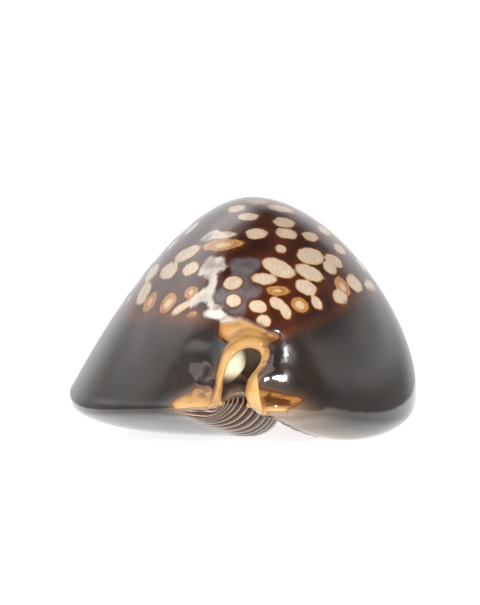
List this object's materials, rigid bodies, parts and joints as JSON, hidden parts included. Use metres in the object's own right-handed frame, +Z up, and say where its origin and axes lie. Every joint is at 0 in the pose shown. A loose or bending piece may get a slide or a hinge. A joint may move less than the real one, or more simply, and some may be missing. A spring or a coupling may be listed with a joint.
{
  "type": "cowrie shell",
  "caption": "Domed, glossy brown and cream-spotted sea shell with a flat base, a toothed slot along it and a notch at each end; rests on its base.",
  "frame": {"origin": "centre of the shell's box at the level of the base it rests on", "axes": "+Y to the front (anterior) end, +X to the outer-lip side, +Z up from the base to the back"},
  "size_m": [0.0576, 0.0831, 0.0391],
  "materials": {
    "shell": "glossy enamel: chocolate back with cream spots, near-black sides, amber notch rims"
  },
  "bodies": {
    "root": {"shell": "shell"}
  },
  "joints": []
}
